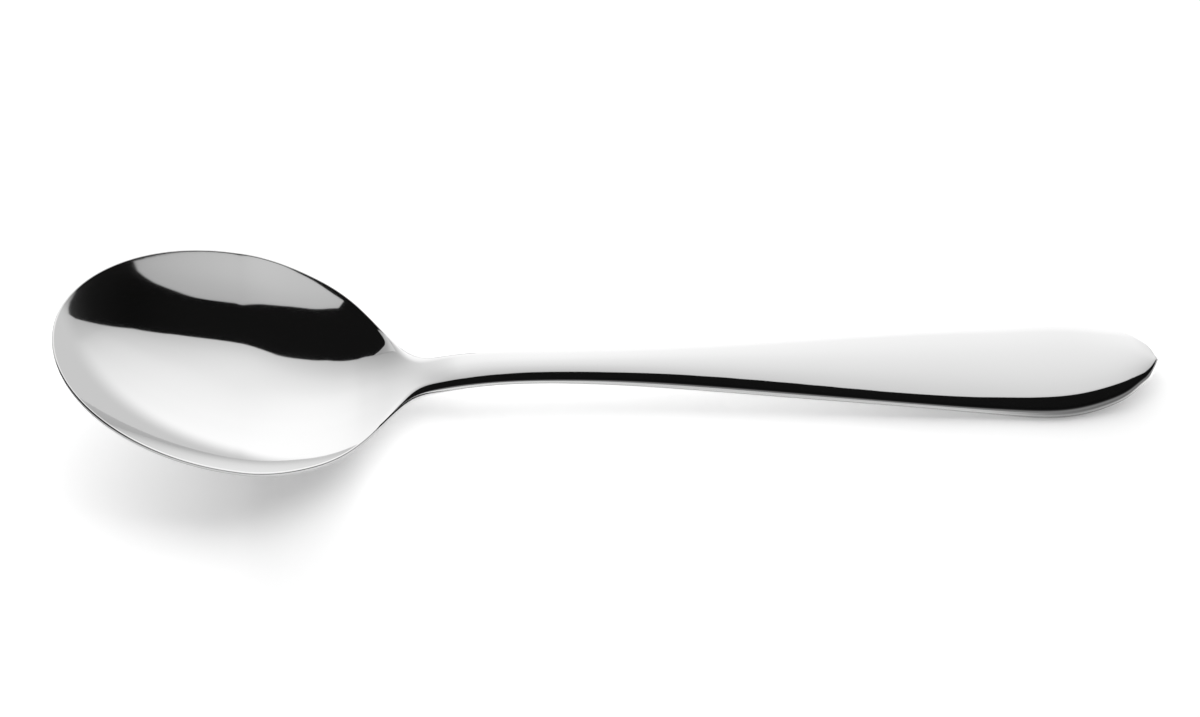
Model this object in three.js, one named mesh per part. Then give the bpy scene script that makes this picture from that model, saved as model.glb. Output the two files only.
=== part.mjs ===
// Dessert spoon: one polished steel forging, held as a bowl and a handle that meet at the neck.
// Millimetres, +Z up, on the table at z = 0, bowl towards -X and handle towards +X.
import * as THREE from 'three';

// Places along the spoon: from the bowl's tip, past the bowl's root and back from the handle's end
const LENGTH = 182;
const BOWL_LENGTH = 58;
const BOWL_WIDEST_AT = 29.5;
const SPLIT_PAST_ROOT = 8;
const NECK_PAST_ROOT = 15;
const CREST_PAST_ROOT = 22;
const LEAF_LENGTH = 15;

// Widths of the bowl, of its root, of the neck, half way along the handle and of the leaf
const BOWL_WIDTH = 41.9;
const ROOT_WIDTH = 8.85;
const NECK_WIDTH = 6.3;
const MIDDLE_WIDTH = 11;
const LEAF_WIDTH = 17.7;

// Heights of the edge above the table
const TIP_RISE = 19.4;
const ROOT_RISE = 3.35;
const CREST_RISE = 5.8;
const LEAF_RISE = 0.12;
const END_RISE = 1.45;

// Heights of the handle's shoulders above its edge
const ROOT_DEPTH = 1.19;
const NECK_DEPTH = 0.79;
const MIDDLE_DEPTH = 1.35;
const LEAF_DEPTH = 1.85;
const END_DEPTH = 0.4;

// Bowl: depth below its rim, thickness of the metal there and how flat the floor runs
const BOWL_DEPTH = 6.1;
const BOWL_WALL = 1.6;
const BOWL_FLATNESS = 1.3;

// Half thickness of the edge round the bowl and along the handle, and how far the edge bulges
const RIM_HALF = 0.6;
const HANDLE_EDGE_HALF = 0.25;
const EDGE_BULGE = 0.7;

// Handle section: how far its shoulders roll in for their height, and how much its top is crowned
const SHOULDER_ROLL = 1.27;
const CROWN = 0.35;

// Where the bowl's section gives way to the handle's, either side of the root
const BLEND_BEFORE_ROOT = 6.4;
const BLEND_PAST_ROOT = 8.4;

// Rounded back under the neck, with its reach towards the bowl and towards the handle
const KEEL = 1.6;
const KEEL_PAST_ROOT = 2;
const KEEL_REACH = 20;
const KEEL_TAIL = 70;

// Facets: half the points across the section, how they crowd to the edge and the blunt end of the point
const HALF_ACROSS = 8;
const CROWDING = 2.2;
const POINT_CUT = 1;

// Places worked out from the sizes above
const SHOULDER_AT = THREE.MathUtils.lerp(BOWL_WIDEST_AT, BOWL_LENGTH, 0.72);
const SPLIT_AT = BOWL_LENGTH + SPLIT_PAST_ROOT;
const NECK_AT = BOWL_LENGTH + NECK_PAST_ROOT;
const CREST_AT = BOWL_LENGTH + CREST_PAST_ROOT;
const LEAF_AT = LENGTH - LEAF_LENGTH;
const LEAF_START = LEAF_AT - 0.6 * LEAF_LENGTH;
const MIDDLE_AT = (NECK_AT + LEAF_AT) / 2;

// Rows of facets along each stretch of the spoon
const STRETCHES = [
  [BOWL_WIDEST_AT, SHOULDER_AT, 8],
  [SHOULDER_AT, SPLIT_AT, 8],
  [SPLIT_AT, CREST_AT, 5],
  [CREST_AT, LEAF_START, 16],
  [LEAF_START, LENGTH - POINT_CUT, 12],
];

// Natural cubic spline through [place, value] pairs
function spline(knots) {
  const x = knots.map((knot) => knot[0]);
  const v = knots.map((knot) => knot[1]);
  const last = x.length - 1;
  const bend = new Array(last + 1).fill(0);
  const carry = new Array(last + 1).fill(0);
  for (let i = 1; i < last; i++) {
    const before = x[i] - x[i - 1];
    const after = x[i + 1] - x[i];
    const pivot = 2 * (before + after) - before * carry[i - 1];
    const turn = (v[i + 1] - v[i]) / after - (v[i] - v[i - 1]) / before;
    carry[i] = after / pivot;
    bend[i] = (6 * turn - before * bend[i - 1]) / pivot;
  }
  for (let i = last - 1; i > 0; i--) {
    bend[i] -= carry[i] * bend[i + 1];
  }
  return (place) => {
    const at = Math.min(Math.max(place, x[0]), x[last]);
    let i = 0;
    while (i < last - 1 && at > x[i + 1]) {
      i += 1;
    }
    const step = x[i + 1] - x[i];
    const a = (x[i + 1] - at) / step;
    const b = 1 - a;
    const curve = ((a ** 3 - a) * bend[i] + (b ** 3 - b) * bend[i + 1]) * step * step / 6;
    return a * v[i] + b * v[i + 1] + curve;
  };
}

// Knots between two places and two values, from shares of the way and of the change
function stretch([fromPlace, toPlace], [fromValue, toValue], shares) {
  return shares.map(([way, change]) => [
    THREE.MathUtils.lerp(fromPlace, toPlace, way),
    THREE.MathUtils.lerp(fromValue, toValue, change),
  ]);
}

// Half width of the plan behind the bowl's widest place, where the first knot mirrors the third to level it
const rearHalfWidth = spline([
  ...stretch([BOWL_WIDEST_AT, BOWL_LENGTH], [BOWL_WIDTH / 2, ROOT_WIDTH / 2], [
    [-0.4, 0.14],
    [0, 0],
    [0.4, 0.14],
    [0.684, 0.443],
    [0.86, 0.773],
    [1, 1],
  ]),
  ...stretch([BOWL_LENGTH, NECK_AT], [ROOT_WIDTH / 2, NECK_WIDTH / 2], [[0.33, 0.8], [1, 1]]),
  [MIDDLE_AT, MIDDLE_WIDTH / 2],
  [LEAF_START, 0.974 * LEAF_WIDTH / 2],
  ...stretch([LEAF_AT, LENGTH], [LEAF_WIDTH / 2, 0], [[0, 0], [0.433, 0.138], [0.767, 0.509], [1, 1]]),
]);

// Height of the edge: down from the raised tip, over the neck's low arch and out to the end
const edgeHeight = spline([
  ...stretch([0, BOWL_LENGTH], [TIP_RISE, ROOT_RISE], [[0, 0], [0.483, 0.561], [0.862, 0.961], [1, 1]]),
  ...stretch([BOWL_LENGTH, CREST_AT], [ROOT_RISE, CREST_RISE], [[0.364, 0.654], [1, 1]]),
  ...stretch([CREST_AT, LEAF_AT], [CREST_RISE, LEAF_RISE], [[0.345, 0.341], [0.747, 0.792], [1, 1]]),
  [LENGTH, END_RISE],
]);

// Height of the handle's shoulders above its edge, thickest in the leaf
const shoulderHeight = spline([
  [BOWL_LENGTH, ROOT_DEPTH],
  ...stretch([NECK_AT, MIDDLE_AT], [NECK_DEPTH, MIDDLE_DEPTH], [[0, 0], [0.468, 0.69], [1, 1]]),
  ...stretch([MIDDLE_AT, LEAF_AT], [MIDDLE_DEPTH, LEAF_DEPTH], [[0.64, 0.25], [1, 1]]),
  ...stretch([LEAF_AT, LENGTH], [LEAF_DEPTH, END_DEPTH], [[0.533, 0.286], [1, 1]]),
]);

// Share of the handle's section at a place, 0 in the bowl and 1 past the neck
function handleShare(x) {
  return THREE.MathUtils.smoothstep(x, BOWL_LENGTH - BLEND_BEFORE_ROOT, BOWL_LENGTH + BLEND_PAST_ROOT);
}

// Share of the bowl's dish at a place, 1 up to the root and 0 past the neck
function bowlShare(x) {
  return 1 - THREE.MathUtils.smoothstep(x, BOWL_LENGTH, BOWL_LENGTH + BLEND_PAST_ROOT);
}

function edgeHalf(x) {
  return THREE.MathUtils.lerp(RIM_HALF, HANDLE_EDGE_HALF, handleShare(x));
}

// Half width of the plan, inset by a distance, where the bowl's front is half an ellipse
function halfWidth(x, inset) {
  if (x >= BOWL_WIDEST_AT) {
    return Math.max(rearHalfWidth(x) - inset, 0);
  }
  const along = (BOWL_WIDEST_AT - x) / (BOWL_WIDEST_AT - inset);
  return (BOWL_WIDTH / 2 - inset) * Math.sqrt(Math.max(1 - along * along, 0));
}

// How far a point lies aside of the middle line, 0 there and 1 on the edge
function asideShare(x, y, inset) {
  return Math.min(Math.abs(y) / Math.max(halfWidth(x, inset), Number.EPSILON), 1);
}

// Depth of the dish as a share, 0 on the rim and 1 in the middle of the bowl
function dish(x, y, inset) {
  const middle = BOWL_WIDTH / 2 - inset;
  const inward = (halfWidth(x, inset) ** 2 - y * y) / (middle * middle);
  return 1 - (1 - THREE.MathUtils.clamp(inward, 0, 1)) ** BOWL_FLATNESS;
}

function topHeight(x, y) {
  const inset = EDGE_BULGE * edgeHalf(x);
  const rim = edgeHeight(x) + edgeHalf(x);
  const aside = asideShare(x, y, inset);
  const roll = SHOULDER_ROLL * shoulderHeight(x);
  const inward = Math.min((1 - aside) * halfWidth(x, inset) / roll, 1);
  const shoulder = shoulderHeight(x) * Math.sqrt(inward * (2 - inward));
  const crown = CROWN * (1 - aside * aside);
  return rim + handleShare(x) * (shoulder + crown) - bowlShare(x) * BOWL_DEPTH * dish(x, y, inset);
}

function bottomHeight(x, y) {
  const inset = EDGE_BULGE * edgeHalf(x);
  const rim = edgeHeight(x) - edgeHalf(x);
  const depth = BOWL_DEPTH + BOWL_WALL - 2 * RIM_HALF;
  const aside = asideShare(x, y, inset);
  const past = x - BOWL_LENGTH - KEEL_PAST_ROOT;
  const away = past < 0 ? -past / KEEL_REACH : past / KEEL_TAIL;
  const keel = KEEL * (1 - THREE.MathUtils.smoothstep(away, 0, 1)) * (1 - aside * aside);
  return Math.max(rim - keel - bowlShare(x) * depth * dish(x, y, inset), 0);
}

// Shares from 0 to 1 that crowd towards the edge
const crowded = [];
for (let i = 0; i <= HALF_ACROSS; i++) {
  crowded.push(1 - (1 - i / HALF_ACROSS) ** CROWDING);
}
const across = [...crowded.slice(1).reverse().map((share) => -share), ...crowded];

// Plan position on a row: the bowl's front bends its rows until the first one lies along the rim
function planPoint(row, share, inset) {
  if (row.front === undefined) {
    return [row.x, share * halfWidth(row.x, inset)];
  }
  const along = row.front * Math.sqrt(1 - share * share / 2);
  const aside = share * Math.sqrt(1 - row.front * row.front / 2);
  return [
    BOWL_WIDEST_AT - along * (BOWL_WIDEST_AT - inset),
    aside * (BOWL_WIDTH / 2 - inset),
  ];
}

const rows = crowded.slice(1).reverse().map((share) => ({ front: share, x: BOWL_WIDEST_AT }));
for (const [from, to, count] of STRETCHES) {
  for (let i = 0; i < count; i++) {
    rows.push({ x: from + (to - from) * i / count });
  }
}
rows.push({ x: LENGTH - POINT_CUT });

// Closed shell of triangles, filled point by point
class Shell {
  constructor() {
    this.points = [];
    this.faces = [];
  }

  point(x, y, z) {
    this.points.push(x - LENGTH / 2, y, z);
    return this.points.length / 3 - 1;
  }

  quad(a, b, c, d) {
    this.faces.push(a, b, c, a, c, d);
  }

  // Quads between two equal lines of points
  strip(first, second) {
    for (let i = 0; i + 1 < first.length; i++) {
      this.quad(first[i], first[i + 1], second[i + 1], second[i]);
    }
  }

  mesh(name, material) {
    const geometry = new THREE.BufferGeometry();
    geometry.setAttribute('position', new THREE.Float32BufferAttribute(this.points, 3));
    geometry.setIndex(this.faces);
    geometry.computeVertexNormals();
    const mesh = new THREE.Mesh(geometry, material);
    mesh.name = name;
    return mesh;
  }
}

// One section: its top and bottom lines from -Y to +Y and the bulge of the edge at both ends
function section(shell, row) {
  const inset = EDGE_BULGE * edgeHalf(row.x);
  const place = (share, height) => {
    const [x, y] = planPoint(row, share, inset);
    return shell.point(x, y, height(x, y));
  };
  const edge = (share) => {
    const [x, y] = planPoint(row, share, 0);
    return shell.point(x, y, edgeHeight(x));
  };
  return {
    top: across.map((share) => place(share, topHeight)),
    bottom: across.map((share) => place(share, bottomHeight)),
    left: edge(-1),
    right: edge(1),
  };
}

// Lines of a section joined into one ring, from the left edge over the top and back underneath
function ring(part) {
  return [part.left, ...part.top, part.right, ...part.bottom.slice().reverse(), part.left];
}

function loft(shell, sections) {
  for (let i = 0; i + 1 < sections.length; i++) {
    shell.strip(ring(sections[i + 1]), ring(sections[i]));
  }
}

// Flat end across the neck, where the two halves of the forging meet
function neckFace(shell, part, facing) {
  const top = facing > 0 ? part.top : part.top.slice().reverse();
  const bottom = facing > 0 ? part.bottom : part.bottom.slice().reverse();
  const [start, end] = facing > 0 ? [part.left, part.right] : [part.right, part.left];
  shell.strip(bottom, top);
  shell.faces.push(start, bottom[0], top[0]);
  shell.faces.push(end, top[top.length - 1], bottom[bottom.length - 1]);
}

function bowl(material) {
  const shell = new Shell();
  const sections = rows.filter((row) => row.x <= SPLIT_AT).map((row) => section(shell, row));
  loft(shell, sections);
  neckFace(shell, sections[sections.length - 1], 1);
  const tip = sections[0];
  const nose = across.slice(1, -1).map((share) => {
    const [x, y] = planPoint(rows[0], share, 0);
    return shell.point(x, y, edgeHeight(x));
  });
  const rim = [tip.left, ...nose, tip.right];
  shell.strip(tip.top, rim);
  shell.strip(rim, tip.bottom);
  return shell.mesh('bowl', material);
}

function handle(material) {
  const shell = new Shell();
  const sections = rows.filter((row) => row.x >= SPLIT_AT).map((row) => section(shell, row));
  loft(shell, sections);
  neckFace(shell, sections[0], -1);
  const end = shell.point(LENGTH, 0, edgeHeight(LENGTH));
  const lastRing = ring(sections[sections.length - 1]);
  for (let i = 0; i + 1 < lastRing.length; i++) {
    shell.faces.push(lastRing[i + 1], lastRing[i], end);
  }
  return shell.mesh('handle', material);
}

function polishedSteel() {
  return new THREE.MeshStandardMaterial({ color: 0xd4d4d4, roughness: 0.06, metalness: 1 });
}

const spoon = new THREE.Group();
spoon.name = 'dessert_spoon';
spoon.add(bowl(polishedSteel()));
spoon.add(handle(polishedSteel()));

export default spoon;
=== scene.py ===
import math

import bmesh
import bpy
import numpy as np
from mathutils import Euler, Matrix, Vector


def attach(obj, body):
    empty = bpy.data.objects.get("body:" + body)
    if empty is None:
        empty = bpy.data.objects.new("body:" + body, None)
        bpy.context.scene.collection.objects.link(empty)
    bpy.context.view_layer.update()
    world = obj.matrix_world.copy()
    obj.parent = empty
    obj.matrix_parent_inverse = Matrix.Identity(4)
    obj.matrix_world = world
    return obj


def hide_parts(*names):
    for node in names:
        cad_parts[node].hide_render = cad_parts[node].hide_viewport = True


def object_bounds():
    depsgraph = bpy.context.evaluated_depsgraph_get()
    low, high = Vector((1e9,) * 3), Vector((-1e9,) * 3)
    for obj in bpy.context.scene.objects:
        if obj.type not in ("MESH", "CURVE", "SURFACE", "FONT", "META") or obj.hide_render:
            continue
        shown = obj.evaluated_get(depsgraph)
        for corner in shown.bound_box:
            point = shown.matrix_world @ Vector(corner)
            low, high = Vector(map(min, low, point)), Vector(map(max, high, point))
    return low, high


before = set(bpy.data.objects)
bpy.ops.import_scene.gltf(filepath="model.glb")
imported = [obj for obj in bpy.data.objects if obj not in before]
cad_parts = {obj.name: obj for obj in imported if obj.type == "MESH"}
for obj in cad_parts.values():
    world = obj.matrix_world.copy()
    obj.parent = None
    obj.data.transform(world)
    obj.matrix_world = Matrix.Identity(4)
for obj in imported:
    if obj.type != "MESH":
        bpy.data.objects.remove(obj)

CAD_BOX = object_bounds()

# A millimetre in metres, the least width to divide by, and plain white
MM = 0.001
TINY = 1e-9
WHITE = (1, 1, 1, 1)

# Camera, fitted to the photograph's outline: frame and lens in pixels, angles in degrees, and
# distance, aim and nearest place seen in metres
FRAME_WIDTH = 1200
LENS_PIXELS = 5161
SENSOR_MM = 36
ELEVATION = 60.0
YAW = 0.79
PAN = -0.115
ROLL = -0.8
DISTANCE = 0.851
AIM = Vector((0, 0, 0.0082))
CLIP_START = 0.01

# Spoon, in millimetres: places from the bowl's tip, past its root and back from the handle's end,
# the run-in before the leaf's widest place and the gap that the last row leaves at the end
LENGTH = (CAD_BOX[1][0] - CAD_BOX[0][0]) / MM
BOWL_LENGTH = 58
BOWL_WIDEST_AT = 29.5
NECK_PAST_ROOT = 15
CREST_PAST_ROOT = 22
LEAF_LENGTH = 15
LEAF_RUN_IN = 9
END_GAP = 0.05

# Widths, and the share of the leaf's width that is reached where its run-in starts
BOWL_WIDTH = 41.88
ROOT_WIDTH = 8.85
NECK_WIDTH = 6.3
MIDDLE_WIDTH = 11
LEAF_WIDTH = 17.7
LEAF_START_SHARE = 0.974

# Heights of the edge above the table and heights of the handle's shoulders above its edge
TIP_RISE = 19.35
ROOT_RISE = 3.35
CREST_RISE = 5.8
LEAF_RISE = 0.3
END_RISE = 2.2
ROOT_DEPTH = 1.19
NECK_DEPTH = 0.79
MIDDLE_DEPTH = 1.35
LEAF_DEPTH = 2.15
END_DEPTH = 0.4

# Bowl's depth, metal and flatness, the rounded edge with the tip's turn in radians round the front,
# the handle's section and the keel under the neck
BOWL_DEPTH = 6.1
BOWL_WALL = 1.6
BOWL_FLATNESS = 1.3
RIM_HALF = 0.6
HANDLE_EDGE_HALF = 0.25
RIM_LAND = 0.42
HANDLE_LAND = 0.03
HANDLE_FOOT = 0.3
EDGE_SQUARE = 8
TIP_SQUARE = 3
TIP_TURN = (0.7, 1.35)
EDGE_ROUND = 2
SHOULDER_ROLL = 1.27
CROWN = 0.35
BLEND_BEFORE_ROOT = 6.4
BLEND_PAST_ROOT = 8.4
KEEL = 1.6
KEEL_PAST_ROOT = 2
KEEL_REACH = 20
KEEL_TAIL = 70

NECK_AT = BOWL_LENGTH + NECK_PAST_ROOT
CREST_AT = BOWL_LENGTH + CREST_PAST_ROOT
LEAF_AT = LENGTH - LEAF_LENGTH
LEAF_START = LEAF_AT - LEAF_RUN_IN
MIDDLE_AT = (NECK_AT + LEAF_AT) / 2

# Fineness of the skin: steps round the bowl's front, along each stretch, across half a face and
# round an edge, how much they crowd towards the edge, and the reach of the weld in metres
FRONT_STEPS = 48
STRETCHES = ((BOWL_WIDEST_AT, BOWL_LENGTH, 44), (BOWL_LENGTH, CREST_AT, 30),
             (CREST_AT, LEAF_START, 70), (LEAF_START, LENGTH - END_GAP, 60))
HALF_STEPS = 36
EDGE_STEPS = 16
CROWDING = 2.2
WELD = 2e-6


def curve(knots):
    """Natural cubic spline through places and values."""
    place, value = np.array(knots, float).T
    step = np.diff(place)
    count = len(place)
    system = np.eye(count)
    turn = np.zeros(count)
    for i in range(1, count - 1):
        system[i, i - 1:i + 2] = step[i - 1], 2 * (step[i - 1] + step[i]), step[i]
        before = (value[i] - value[i - 1]) / step[i - 1]
        after = (value[i + 1] - value[i]) / step[i]
        turn[i] = 6 * (after - before)
    bend = np.linalg.solve(system, turn)

    def height(at):
        at = min(max(at, place[0]), place[-1])
        i = min(max(int(np.searchsorted(place, at)) - 1, 0), count - 2)
        a = (place[i + 1] - at) / step[i]
        b = 1 - a
        sag = ((a ** 3 - a) * bend[i] + (b ** 3 - b) * bend[i + 1]) * step[i] ** 2 / 6
        return a * value[i] + b * value[i + 1] + sag

    return height


def lerp(start, end, share):
    return start + (end - start) * share


def smoothstep(value, low, high):
    share = min(max((value - low) / (high - low), 0), 1)
    return share * share * (3 - 2 * share)


def stretch(places, values, shares):
    """Knots between two places and two values, from shares of the way and of the change."""
    return [(lerp(*places, way), lerp(*values, change)) for way, change in shares]


# Half width of the plan behind the bowl's widest place
rear_half_width = curve(
    stretch((BOWL_WIDEST_AT, BOWL_LENGTH), (BOWL_WIDTH / 2, ROOT_WIDTH / 2),
            ((-0.4, 0.14), (0, 0), (0.4, 0.14), (0.684, 0.443), (0.86, 0.773), (1, 1)))
    + stretch((BOWL_LENGTH, NECK_AT), (ROOT_WIDTH / 2, NECK_WIDTH / 2), ((0.33, 0.8), (1, 1)))
    + [(MIDDLE_AT, MIDDLE_WIDTH / 2), (LEAF_START, LEAF_START_SHARE * LEAF_WIDTH / 2)]
    + stretch((LEAF_AT, LENGTH), (LEAF_WIDTH / 2, 0),
              ((0, 0), (0.433, 0.152), (0.687, 0.345), (0.833, 0.545), (0.933, 0.74), (1, 1))))

# Height of the edge from the raised tip over the neck's arch to the end
edge_height = curve(
    stretch((0, BOWL_LENGTH), (TIP_RISE, ROOT_RISE),
            ((0, 0), (0.483, 0.561), (0.862, 0.961), (1, 1)))
    + stretch((BOWL_LENGTH, CREST_AT), (ROOT_RISE, CREST_RISE), ((0.364, 0.654), (1, 1)))
    + stretch((CREST_AT, LEAF_AT), (CREST_RISE, LEAF_RISE),
              ((0.345, 0.341), (0.747, 0.792), (1, 1)))
    + stretch((LEAF_AT, LENGTH), (LEAF_RISE, END_RISE),
              ((0.36, 0.28), (0.58, 0.66), (0.8, 1), (1, 1))))

# Height of the handle's shoulders above its edge
shoulder_height = curve(
    [(BOWL_LENGTH, ROOT_DEPTH)]
    + stretch((NECK_AT, MIDDLE_AT), (NECK_DEPTH, MIDDLE_DEPTH), ((0, 0), (0.468, 0.69), (1, 1)))
    + stretch((MIDDLE_AT, LEAF_AT), (MIDDLE_DEPTH, LEAF_DEPTH), ((0.64, 0.156), (1, 1)))
    + stretch((LEAF_AT, LENGTH), (LEAF_DEPTH, END_DEPTH),
              ((0.36, 0.05), (0.58, 0.205), (0.8, 0.6), (1, 1))))


def handle_share(x):
    return smoothstep(x, BOWL_LENGTH - BLEND_BEFORE_ROOT, BOWL_LENGTH + BLEND_PAST_ROOT)


def bowl_share(x):
    return 1 - smoothstep(x, BOWL_LENGTH, BOWL_LENGTH + BLEND_PAST_ROOT)


def edge_half(x):
    return lerp(RIM_HALF, HANDLE_EDGE_HALF, handle_share(x))


def top_land(x):
    """How far the top stops short of the outline, to leave room for the edge."""
    return lerp(RIM_LAND, HANDLE_LAND, handle_share(x))


def foot_land(x):
    """How far the underside stops short of the outline."""
    return lerp(RIM_LAND, HANDLE_FOOT, handle_share(x))


def half_width(x, inset):
    if x >= BOWL_WIDEST_AT:
        return max(rear_half_width(x) - inset, 0)
    along = (BOWL_WIDEST_AT - x) / (BOWL_WIDEST_AT - inset)
    return (BOWL_WIDTH / 2 - inset) * math.sqrt(max(1 - along * along, 0))


def aside_share(x, y, inset):
    return min(abs(y) / max(half_width(x, inset), TINY), 1)


def dish(x, y, inset):
    middle = BOWL_WIDTH / 2 - inset
    inward = (half_width(x, inset) ** 2 - y * y) / (middle * middle)
    return 1 - (1 - min(max(inward, 0), 1)) ** BOWL_FLATNESS


def top_height(x, y):
    inset = top_land(x)
    rim = edge_height(x) + edge_half(x)
    aside = aside_share(x, y, inset)
    roll = SHOULDER_ROLL * shoulder_height(x)
    inward = min((1 - aside) * half_width(x, inset) / roll, 1)
    shoulder = shoulder_height(x) * math.sqrt(inward * (2 - inward))
    crown = CROWN * (1 - aside * aside)
    raised = handle_share(x) * (shoulder + crown)
    sunk = bowl_share(x) * BOWL_DEPTH * dish(x, y, inset)
    return rim + raised - sunk


def bottom_height(x, y):
    inset = foot_land(x)
    rim = edge_height(x) - edge_half(x)
    past = x - BOWL_LENGTH - KEEL_PAST_ROOT
    away = -past / KEEL_REACH if past < 0 else past / KEEL_TAIL
    keel = KEEL * (1 - smoothstep(away, 0, 1)) * (1 - aside_share(x, y, inset) ** 2)
    depth = BOWL_DEPTH + BOWL_WALL - 2 * RIM_HALF
    return max(rim - keel - bowl_share(x) * depth * dish(x, y, inset), 0)


def plan_point(station, share, inset):
    """Place on the plan: a ray from the bowl's middle in front, a straight row across behind."""
    kind, value = station
    if kind == "front":
        return (BOWL_WIDEST_AT - abs(share) * (BOWL_WIDEST_AT - inset) * math.cos(value),
                share * (BOWL_WIDTH / 2 - inset) * math.sin(value))
    return value, share * half_width(value, inset)


def edge_square(station):
    """Squareness of the edge's upper half, less towards the bowl's tip."""
    kind, value = station
    return lerp(TIP_SQUARE, EDGE_SQUARE, smoothstep(value, *TIP_TURN) if kind == "front" else 1)


def skin_point(station, spot):
    """Point of the skin for a spot: a face with a share across, or an edge with a turn round it."""
    face, value = spot
    above = face == "top" or (face != "bottom" and value > 0)
    row = station[1] if station[0] == "row" else 0
    land = top_land(row) if above else foot_land(row)
    if face in ("left", "right"):
        side = 1 if face == "right" else -1
        power = 2 / (edge_square(station) if above else EDGE_ROUND)
        up = math.copysign(abs(math.sin(value)) ** power, value)
        x, y = plan_point(station, side, land * (1 - math.cos(value) ** power))
        return x, y, max(edge_height(x) + edge_half(x) * up, 0)
    x, y = plan_point(station, value, land)
    return x, y, (top_height if above else bottom_height)(x, y)


def ring_spots():
    """Spots round a section: over the top, round one edge, back below and round the other edge."""
    half = [1 - (1 - i / HALF_STEPS) ** CROWDING for i in range(HALF_STEPS + 1)]
    across = [-share for share in half[:0:-1]] + half
    turns = [math.pi / 2 - math.pi * i / EDGE_STEPS for i in range(1, EDGE_STEPS)]
    spots = [("top", share) for share in across]
    spots += [("right", turn) for turn in turns]
    spots += [("bottom", share) for share in reversed(across)]
    spots += [("left", turn) for turn in reversed(turns)]
    return spots + spots[:1]


def stations():
    """Rays round the bowl's front, then rows back to the handle's end."""
    rows = [("front", math.pi / 2 * i / FRONT_STEPS) for i in range(FRONT_STEPS)]
    for start, end, count in STRETCHES:
        rows += [("row", lerp(start, end, i / count)) for i in range(count)]
    return rows + [("row", STRETCHES[-1][1])]


def finish_piece(shape, name, material):
    mesh = bpy.data.meshes.new(name)
    shape.to_mesh(mesh)
    shape.free()
    mesh.materials.append(material)
    piece = bpy.data.objects.new(name, mesh)
    bpy.context.scene.collection.objects.link(piece)
    return piece


def spoon_skin(material):
    """One seamless skin over both halves of the forging: a grid wrapped round the sections."""
    spots = ring_spots()
    rows = stations()
    skin = bmesh.new()
    bmesh.ops.create_grid(skin, x_segments=len(spots) - 1, y_segments=len(rows) - 1, size=1)
    skin.verts.ensure_lookup_table()
    for i, station in enumerate(rows):
        for j, spot in enumerate(spots):
            x, y, z = skin_point(station, spot)
            skin.verts[i * len(spots) + j].co = ((x - LENGTH / 2) * MM, y * MM, z * MM)
    bmesh.ops.remove_doubles(skin, verts=skin.verts, dist=WELD)
    last = [edge for edge in skin.edges if edge.is_boundary]
    bmesh.ops.holes_fill(skin, edges=last, sides=len(spots))
    bmesh.ops.recalc_face_normals(skin, faces=skin.faces)
    for face in skin.faces:
        face.smooth = True
    return finish_piece(skin, "spoon", material)


def new_material(name):
    material = bpy.data.materials.new(name)
    material.use_nodes = True
    material.node_tree.nodes.clear()
    return material, material.node_tree.nodes, material.node_tree.links


def feed(links, socket, value):
    """Set a socket to a number, or link it to another socket."""
    if isinstance(value, (int, float)):
        socket.default_value = value
    else:
        links.new(value, socket)


def reckon(nodes, links, operation, *values):
    """Result of a math node that is fed with numbers and sockets."""
    node = nodes.new("ShaderNodeMath")
    node.operation = operation
    for socket, value in zip(node.inputs, values):
        feed(links, socket, value)
    return node.outputs["Value"]


def blend(nodes, links, share, first, second):
    """Level from the first at share 0 to the second at share 1."""
    mix = nodes.new("ShaderNodeMix")
    feed(links, mix.inputs["Factor"], share)
    feed(links, mix.inputs["A"], first)
    feed(links, mix.inputs["B"], second)
    return mix.outputs["Result"]


def place_axes(nodes, links, kind):
    """Place in the named coordinates, and its three axes."""
    place = nodes.new("ShaderNodeTexCoord").outputs[kind]
    axes = nodes.new("ShaderNodeSeparateXYZ")
    links.new(place, axes.inputs["Vector"])
    return place, axes.outputs


def graded(nodes, links, source, knots):
    """Level that follows knots of place and level along a source socket."""
    places, levels = zip(*knots)
    span = nodes.new("ShaderNodeMapRange")
    span.inputs["From Min"].default_value = places[0]
    span.inputs["From Max"].default_value = places[-1]
    shape = nodes.new("ShaderNodeFloatCurve")
    points = shape.mapping.curves[0].points
    while len(points) < len(knots):
        points.new(0.5, 0.5)
    for point, (place, level) in zip(points, knots):
        point.location = ((place - places[0]) / (places[-1] - places[0]), level / max(levels))
    shape.mapping.update()
    links.new(source, span.inputs["Value"])
    links.new(span.outputs["Result"], shape.inputs["Value"])
    return reckon(nodes, links, "MULTIPLY", shape.outputs["Value"], max(levels))


# Steel: mirror polish whose softness drifts a little over a span of noise, with a faint ripple left
# by the buffing wheel
STEEL_COLOUR = (0.75, 0.75, 0.75, 1)
STEEL_SOFT = (0.035, 0.05)
POLISH_SCALE = 45
POLISH_DETAIL = 3
POLISH_SPAN = (0.3, 0.7)
RIPPLE_SCALE = 700
RIPPLE_HEIGHT = 4e-7


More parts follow.
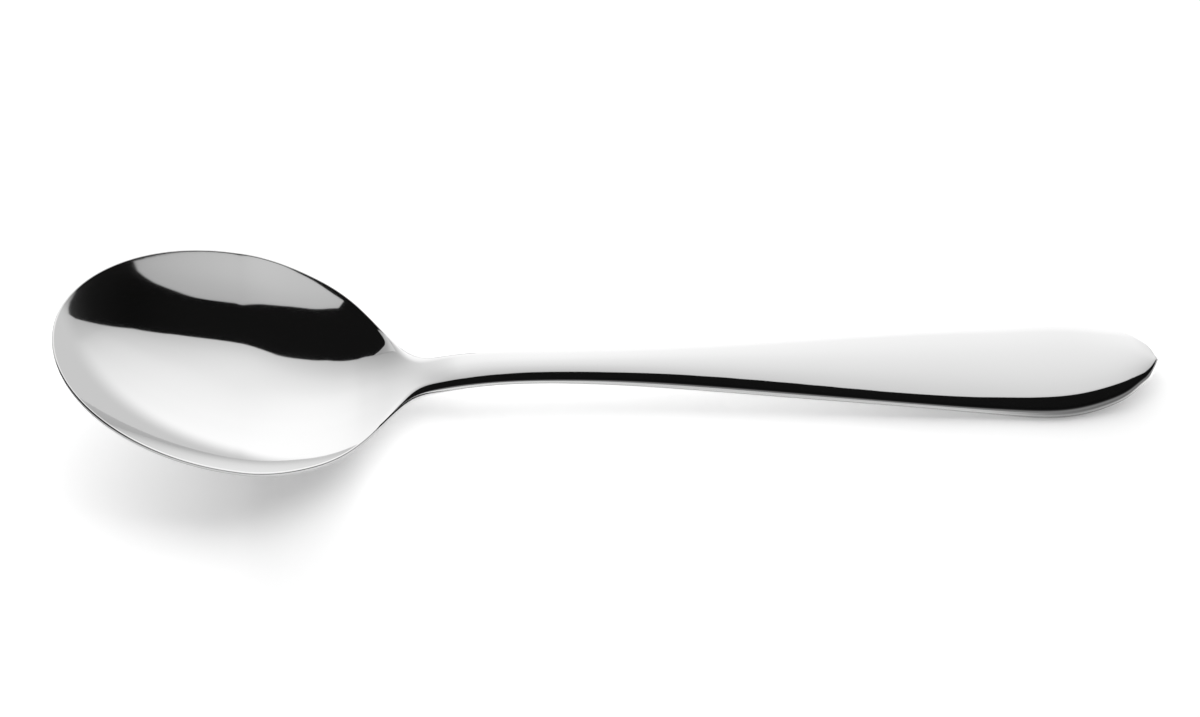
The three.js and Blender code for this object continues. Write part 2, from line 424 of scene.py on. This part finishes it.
def polished_steel():
    material, nodes, links = new_material("polished_steel")
    output = nodes.new("ShaderNodeOutputMaterial")
    steel = nodes.new("ShaderNodeBsdfPrincipled")
    steel.inputs["Base Color"].default_value = STEEL_COLOUR
    steel.inputs["Metallic"].default_value = 1
    place = nodes.new("ShaderNodeTexCoord")
    drift = nodes.new("ShaderNodeTexNoise")
    drift.inputs["Scale"].default_value = POLISH_SCALE
    drift.inputs["Detail"].default_value = POLISH_DETAIL
    soft = nodes.new("ShaderNodeMapRange")
    soft.inputs["From Min"].default_value, soft.inputs["From Max"].default_value = POLISH_SPAN
    soft.inputs["To Min"].default_value, soft.inputs["To Max"].default_value = STEEL_SOFT
    ripple = nodes.new("ShaderNodeTexNoise")
    ripple.inputs["Scale"].default_value = RIPPLE_SCALE
    bump = nodes.new("ShaderNodeBump")
    bump.inputs["Distance"].default_value = RIPPLE_HEIGHT
    links.new(place.outputs["Object"], drift.inputs["Vector"])
    links.new(drift.outputs["Fac"], soft.inputs["Value"])
    links.new(soft.outputs["Result"], steel.inputs["Roughness"])
    links.new(place.outputs["Object"], ripple.inputs["Vector"])
    links.new(ripple.outputs["Fac"], bump.inputs["Height"])
    links.new(bump.outputs["Normal"], steel.inputs["Normal"])
    links.new(steel.outputs["BSDF"], output.inputs["Surface"])
    return material


# Canopy of light that arches over the spoon from behind, in metres: front edge in degrees of arch
# along X, and its level round the arch and along X
CANOPY_RADIUS = 0.6
CANOPY_HALF = 2.4
CANOPY_BACK = -12
CANOPY_EDGE = ((-2.4, 76.6), (-0.4, 76.6), (-0.3, 74.8), (-0.06, 75), (0.05, 73.2), (0.16, 70.5),
               (0.41, 70.2), (0.58, 67.4), (0.83, 58), (0.95, 53.2), (1.03, 53.3), (1.1, 58),
               (1.165, 66), (1.19, 80), (1.21, 110), (1.26, 140), (2.4, 140))
CANOPY_ROUND = ((0, 1.33), (20, 1.33), (30, 1.31), (37.5, 1.3), (42.5, 1.275), (47.5, 1.25),
                (52.5, 1.2), (57.5, 1.1), (62.5, 1.0), (67.5, 0.865), (72.5, 0.745), (80, 0.55))
CANOPY_ALONG = ((-2.4, 0.55), (-0.45, 0.68), (-0.4, 0.74), (-0.3, 0.86), (-0.2, 0.95), (-0.1, 0.98),
                (0.05, 1), (0.2, 0.97), (0.3, 0.92), (0.4, 0.86), (0.5, 0.8), (0.6, 0.735),
                (0.7, 0.65), (0.82, 0.54), (1, 0.5), (1.2, 0.52), (2.4, 0.5))
CANOPY_STEPS = 320
CANOPY_ROWS = 24
# Its lower corner towards +X is grey below a slanted line, in degrees of arch over each metre of X
CORNER_LEVEL = 0.76
CORNER_SLANT = 47
CORNER_START = 0.09
CORNER_FADE = 13

# Card of grey light over the bowl, seen only in the steel, whose reflection paints the grey patch
# in the bowl, in millimetres: height, both edges across and its level across and along
CARD_HEIGHT = 60
CARD_NEAR = ((-66.8, -11.5), (-62, -7.2), (-55.5, -6), (-44.4, -2.9), (-34.3, 0.8), (-30.5, 2.8),
             (-28, 4.4), (-26.7, 4.2), (-24.5, 2.2), (-20.3, -0.9), (-17.9, -3.2), (-15.3, -6),
             (-12.4, -11.6))
CARD_FAR = ((-66.8, -11.5), (-54.9, -19), (-46.8, -25.8), (-31.2, -29), (-22.3, -26),
            (-16.5, -18.9), (-12.4, -11.6))
CARD_ACROSS = ((-30, 0.72), (-15, 0.7), (-5, 0.63), (8, 0.53))
CARD_ALONG = ((-70, 0.88), (-50, 0.97), (-35, 1), (-22, 0.88), (-10, 0.68))
CARD_STEPS = 120
CARD_ROWS = 2

# Black flag over the neck's near side, in millimetres, that keeps the card out of the neck
FLAG_HEIGHT = 12
FLAG_FRONT = -12
FLAG_BACK = ((-36, -2.8), (-22, -1.1), (-8, -1))
FLAG_LEVEL = 0.007

# Small light card over the root's far side, in millimetres, that rounds off the black in the bowl
ROOT_CARD_HEIGHT = 8
ROOT_CARD_LEFT = ((6.1, -42.4), (6.4, -41.3), (6.9, -40.05), (7.4, -39.75), (8, -40), (8.8, -40.8))
ROOT_CARD_RIGHT = -37.8
ROOT_CARD_ALONG = ((-42.4, 0.46), (-40, 0.48), (-38.8, 0.7), (-37.8, 0.8))
ROOT_CARD_STEPS = 2
ROOT_CARD_ROWS = 16

# Low strip of white light behind the handle, seen only in the steel, in millimetres, that whitens
# its far edge with a painted reflection
STRIP_BEHIND = 30
STRIP_HEIGHT = 12
STRIP_ENDS = (-25, 118)
STRIP_LEVEL = 1.35


def in_metres(knots):
    """Knots whose places in millimetres are turned into metres."""
    return [(place * MM, level) for place, level in knots]


def glow_material(name):
    material, nodes, links = new_material(name)
    output = nodes.new("ShaderNodeOutputMaterial")
    glow = nodes.new("ShaderNodeEmission")
    links.new(glow.outputs["Emission"], output.inputs["Surface"])
    return material, nodes, links, glow.inputs["Strength"]


def canopy_light():
    material, nodes, links, strength = glow_material("canopy_light")
    axes = place_axes(nodes, links, "Object")[1]
    degrees = reckon(nodes, links, "DEGREES", reckon(nodes, links, "ARCTAN2", axes["Z"], axes["Y"]))
    level = reckon(nodes, links, "MULTIPLY", graded(nodes, links, degrees, CANOPY_ROUND),
                   graded(nodes, links, axes["X"], CANOPY_ALONG))
    line = reckon(nodes, links, "MULTIPLY_ADD", axes["X"], -CORNER_SLANT,
                  CORNER_SLANT * CORNER_START)
    fade = nodes.new("ShaderNodeMapRange")
    fade.interpolation_type = "SMOOTHSTEP"
    fade.inputs["From Max"].default_value = CORNER_FADE
    links.new(reckon(nodes, links, "ADD", line, degrees), fade.inputs["Value"])
    links.new(blend(nodes, links, fade.outputs["Result"], CORNER_LEVEL, level), strength)
    return material


# Painted reflection: the card's light, graded across and along to paint the grey patch in the bowl
def card_light():
    material, nodes, links, strength = glow_material("card_light")
    axes = place_axes(nodes, links, "Object")[1]
    across = graded(nodes, links, axes["Y"], in_metres(CARD_ACROSS))
    along = graded(nodes, links, axes["X"], in_metres(CARD_ALONG))
    links.new(reckon(nodes, links, "MULTIPLY", across, along), strength)
    return material


def root_light():
    material, nodes, links, strength = glow_material("root_light")
    axes = place_axes(nodes, links, "Object")[1]
    links.new(graded(nodes, links, axes["X"], in_metres(ROOT_CARD_ALONG)), strength)
    return material


def plain_glow(name, level):
    material, _, _, strength = glow_material(name)
    strength.default_value = level
    return material


def stage_card(name, steps, rows, place, material):
    """Grid placed by a formula of the shares along and across, to be seen in the steel alone."""
    grid = bmesh.new()
    bmesh.ops.create_grid(grid, x_segments=steps, y_segments=rows, size=1)
    for vert in grid.verts:
        vert.co = place((vert.co.x + 1) / 2, (vert.co.y + 1) / 2)
    card = finish_piece(grid, name, material)
    card.visible_camera = False
    card.visible_diffuse = False
    card.visible_shadow = False
    return card


def canopy():
    edge = np.array(CANOPY_EDGE).T

    def place(along, around):
        x = lerp(-CANOPY_HALF, CANOPY_HALF, along)
        theta = math.radians(lerp(CANOPY_BACK, np.interp(x, *edge), around))
        return x, CANOPY_RADIUS * math.cos(theta), CANOPY_RADIUS * math.sin(theta)

    return stage_card("canopy", CANOPY_STEPS, CANOPY_ROWS, place, canopy_light())


def grey_glow_card():
    near = np.array(CARD_NEAR).T
    far = curve(CARD_FAR)

    def place(along, across):
        x = lerp(CARD_NEAR[0][0], CARD_NEAR[-1][0], along)
        y = lerp(far(x), np.interp(x, *near), across)
        return x * MM, y * MM, CARD_HEIGHT * MM

    return stage_card("grey_glow_card", CARD_STEPS, CARD_ROWS, place, card_light())


def neck_flag():
    back = np.array(FLAG_BACK).T

    def place(along, across):
        x = lerp(FLAG_BACK[0][0], FLAG_BACK[-1][0], along)
        return x * MM, lerp(FLAG_FRONT, np.interp(x, *back), across) * MM, FLAG_HEIGHT * MM

    black = plain_glow("flag_black", FLAG_LEVEL)
    return stage_card("neck_flag", len(FLAG_BACK) - 1, 1, place, black)


def root_card():
    left = np.array(ROOT_CARD_LEFT).T

    def place(along, across):
        y = lerp(ROOT_CARD_LEFT[0][0], ROOT_CARD_LEFT[-1][0], across)
        x = lerp(np.interp(y, *left), ROOT_CARD_RIGHT, along)
        return x * MM, y * MM, ROOT_CARD_HEIGHT * MM

    return stage_card("root_card", ROOT_CARD_STEPS, ROOT_CARD_ROWS, place, root_light())


# Strip of white light seen only in the steel: a painted reflection on the handle's far edge
def far_strip():
    def place(along, up):
        return lerp(*STRIP_ENDS, along) * MM, STRIP_BEHIND * MM, up * STRIP_HEIGHT * MM

    return stage_card("far_strip", 1, 1, place, plain_glow("strip_white", STRIP_LEVEL))


# Floor, in metres
FLOOR_SIZE = 6
FLOOR_DROP = 2e-5
FLOOR_COLOUR = 0.85
# Its own light, seen by the camera and in the steel: along X, out towards the horizon and as the
# steel shows it
# Along X it is painted light, lower where the cast shadow is to look darker: under the bowl's rear
# half and at the handle's leaf
FLOOR_GLOW = ((-0.09, 0.4), (-0.076, 0.37), (-0.063, 0.29), (-0.05, 0.2), (-0.04, 0.33),
              (-0.03, 0.41), (0.02, 0.43), (0.06, 0.22), (0.09, 0.17))
FLOOR_FAR_GLOW = ((0.2, 0), (1.2, 1))
# As the steel shows it, the glow is a painted reflection, dimmer round the bowl's tip and before
# the handle's leaf
FLOOR_STEEL_GLOW = 0.33
FLOOR_STEEL_FRONT_GLOW = ((-0.16, 0.08), (-0.12, 0.12), (-0.08, 0.3), (-0.05, 0.33), (0.055, 0.33),
                          (0.066, 0.2), (0.08, 0.06), (0.09, 0.05))
# Its colour as the steel shows it, a painted reflection: in front by X, greyer before the handle,
# and behind by Y, greyer further back, with the change between them over a strip of Y
FLOOR_IN_FRONT = ((-0.16, 0.25), (-0.12, 0.3), (-0.08, 0.6), (-0.05, 0.7), (-0.03, 0.6),
                  (0.03, 0.37), (0.06, 0.36), (0.08, 0.15), (0.1, 0.15))
FLOOR_BEHIND = ((0, 1), (0.035, 1), (0.055, 0.19), (0.1, 0.19))
FLOOR_TURN = (-0.012, -0.004)


def floor_white():
    """Matt board with a light of its own, both at other levels in the steel than to the camera:
    painted light that sets how deep the cast shadow looks, and a painted reflection of the floor in
    the steel.
    """
    material, nodes, links = new_material("floor_white")
    output = nodes.new("ShaderNodeOutputMaterial")
    board = nodes.new("ShaderNodeBsdfDiffuse")
    glow = nodes.new("ShaderNodeEmission")
    both = nodes.new("ShaderNodeAddShader")
    rays = nodes.new("ShaderNodeLightPath").outputs
    place, axes = place_axes(nodes, links, "Object")
    turn = nodes.new("ShaderNodeMapRange")
    turn.inputs["From Min"].default_value, turn.inputs["From Max"].default_value = FLOOR_TURN
    links.new(axes["Y"], turn.inputs["Value"])
    behind = turn.outputs["Result"]
    # Painted reflection: the floor's colour as the steel shows it, greyer before the handle and
    # further back
    in_steel = blend(nodes, links, behind, graded(nodes, links, axes["X"], FLOOR_IN_FRONT),
                     graded(nodes, links, axes["Y"], FLOOR_BEHIND))
    colour = blend(nodes, links, rays["Is Glossy Ray"], FLOOR_COLOUR, in_steel)
    away = nodes.new("ShaderNodeVectorMath")
    away.operation = "LENGTH"
    links.new(place, away.inputs[0])
    # Painted light along X that sets how deep the cast shadow looks, plus white towards the horizon
    seen = reckon(nodes, links, "ADD", graded(nodes, links, axes["X"], FLOOR_GLOW),
                  graded(nodes, links, away.outputs["Value"], FLOOR_FAR_GLOW))
    # Painted reflection: the floor's glow as the steel shows it
    front_glow = graded(nodes, links, axes["X"], FLOOR_STEEL_FRONT_GLOW)
    mirrored = blend(nodes, links, behind, front_glow, FLOOR_STEEL_GLOW)
    strength = reckon(nodes, links, "ADD",
                      reckon(nodes, links, "MULTIPLY", rays["Is Camera Ray"], seen),
                      reckon(nodes, links, "MULTIPLY", rays["Is Glossy Ray"], mirrored))
    links.new(colour, board.inputs["Color"])
    links.new(strength, glow.inputs["Strength"])
    links.new(board.outputs["BSDF"], both.inputs[0])
    links.new(glow.outputs["Emission"], both.inputs[1])
    links.new(both.outputs["Shader"], output.inputs["Surface"])
    return material


def floor_board():
    plane = bmesh.new()
    bmesh.ops.create_grid(plane, x_segments=1, y_segments=1, size=FLOOR_SIZE,
                          matrix=Matrix.Translation((0, 0, -FLOOR_DROP)))
    return finish_piece(plane, "floor", floor_white())


# Back lamp: place in metres, width, height and power
LAMP_PLACE = (0.25, 1.2, 0.85)
LAMP_WIDTH = 3.5
LAMP_HEIGHT = 2.4
LAMP_POWER = 60

# The room: its white behind the floor, its plain fill, and the room as the steel shows it, dusky at
# the horizon and nearly black above, by the height of the direction
ROOM_WHITE = 1
ROOM_FILL = 0.36
ROOM_DUSK = ((0, 0.26), (0.15, 0.25), (0.26, 0.18), (0.36, 0.06), (0.44, 0.014), (0.52, 0.007),
             (0.8, 0.007), (1, 0.007))


def back_lamp():
    light = bpy.data.lights.new("back_lamp", "AREA")
    light.shape = "RECTANGLE"
    light.size = LAMP_WIDTH
    light.size_y = LAMP_HEIGHT
    light.energy = LAMP_POWER
    holder = bpy.data.objects.new("back_lamp", light)
    holder.location = LAMP_PLACE
    holder.rotation_euler = (-Vector(LAMP_PLACE)).to_track_quat("-Z", "Y").to_euler()
    holder.visible_glossy = False
    bpy.context.scene.collection.objects.link(holder)


def room_light(nodes, links, level):
    light = nodes.new("ShaderNodeBackground")
    light.inputs["Color"].default_value = WHITE
    feed(links, light.inputs["Strength"], level)
    return light.outputs["Background"]


def either(nodes, links, ray, other, own):
    """Own shader for one kind of ray and the other shader for the rest."""
    pick = nodes.new("ShaderNodeMixShader")
    for socket, source in zip(pick.inputs, (ray, other, own)):
        links.new(source, socket)
    return pick.outputs["Shader"]


def room_world():
    """White to the camera, dusky to black in the steel and a plain fill on the floor."""
    world = bpy.data.worlds.new("room")
    world.use_nodes = True
    nodes, links = world.node_tree.nodes, world.node_tree.links
    nodes.clear()
    output = nodes.new("ShaderNodeOutputWorld")
    rays = nodes.new("ShaderNodeLightPath").outputs
    axes = place_axes(nodes, links, "Generated")[1]
    white = room_light(nodes, links, ROOM_WHITE)
    dusk = room_light(nodes, links, graded(nodes, links, axes["Z"], ROOM_DUSK))
    fill = room_light(nodes, links, ROOM_FILL)
    unseen = either(nodes, links, rays["Is Glossy Ray"], fill, dusk)
    links.new(either(nodes, links, rays["Is Camera Ray"], unseen, white), output.inputs["Surface"])
    bpy.context.scene.world = world


def photo_camera():
    camera = bpy.data.cameras.new("camera")
    camera.sensor_width = SENSOR_MM
    camera.lens = LENS_PIXELS / FRAME_WIDTH * SENSOR_MM
    camera.clip_start = CLIP_START
    holder = bpy.data.objects.new("camera", camera)
    turn = Euler((math.radians(90 - ELEVATION), 0, math.radians(-YAW))).to_matrix()
    back = turn @ Vector((0, 0, 1))
    pan = Matrix.Rotation(math.radians(-PAN), 3, "Y")
    roll = Matrix.Rotation(math.radians(ROLL), 3, "Z")
    holder.matrix_world = Matrix.Translation(AIM + DISTANCE * back) @ (turn @ pan @ roll).to_4x4()
    bpy.context.scene.collection.objects.link(holder)
    bpy.context.scene.camera = holder


photo_camera()
spoon = spoon_skin(polished_steel())
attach(spoon, "root")
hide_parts("bowl", "handle")
floor_board()
canopy()
grey_glow_card()
neck_flag()
root_card()
far_strip()
back_lamp()
room_world()
bpy.context.scene.view_settings.view_transform = "Standard"
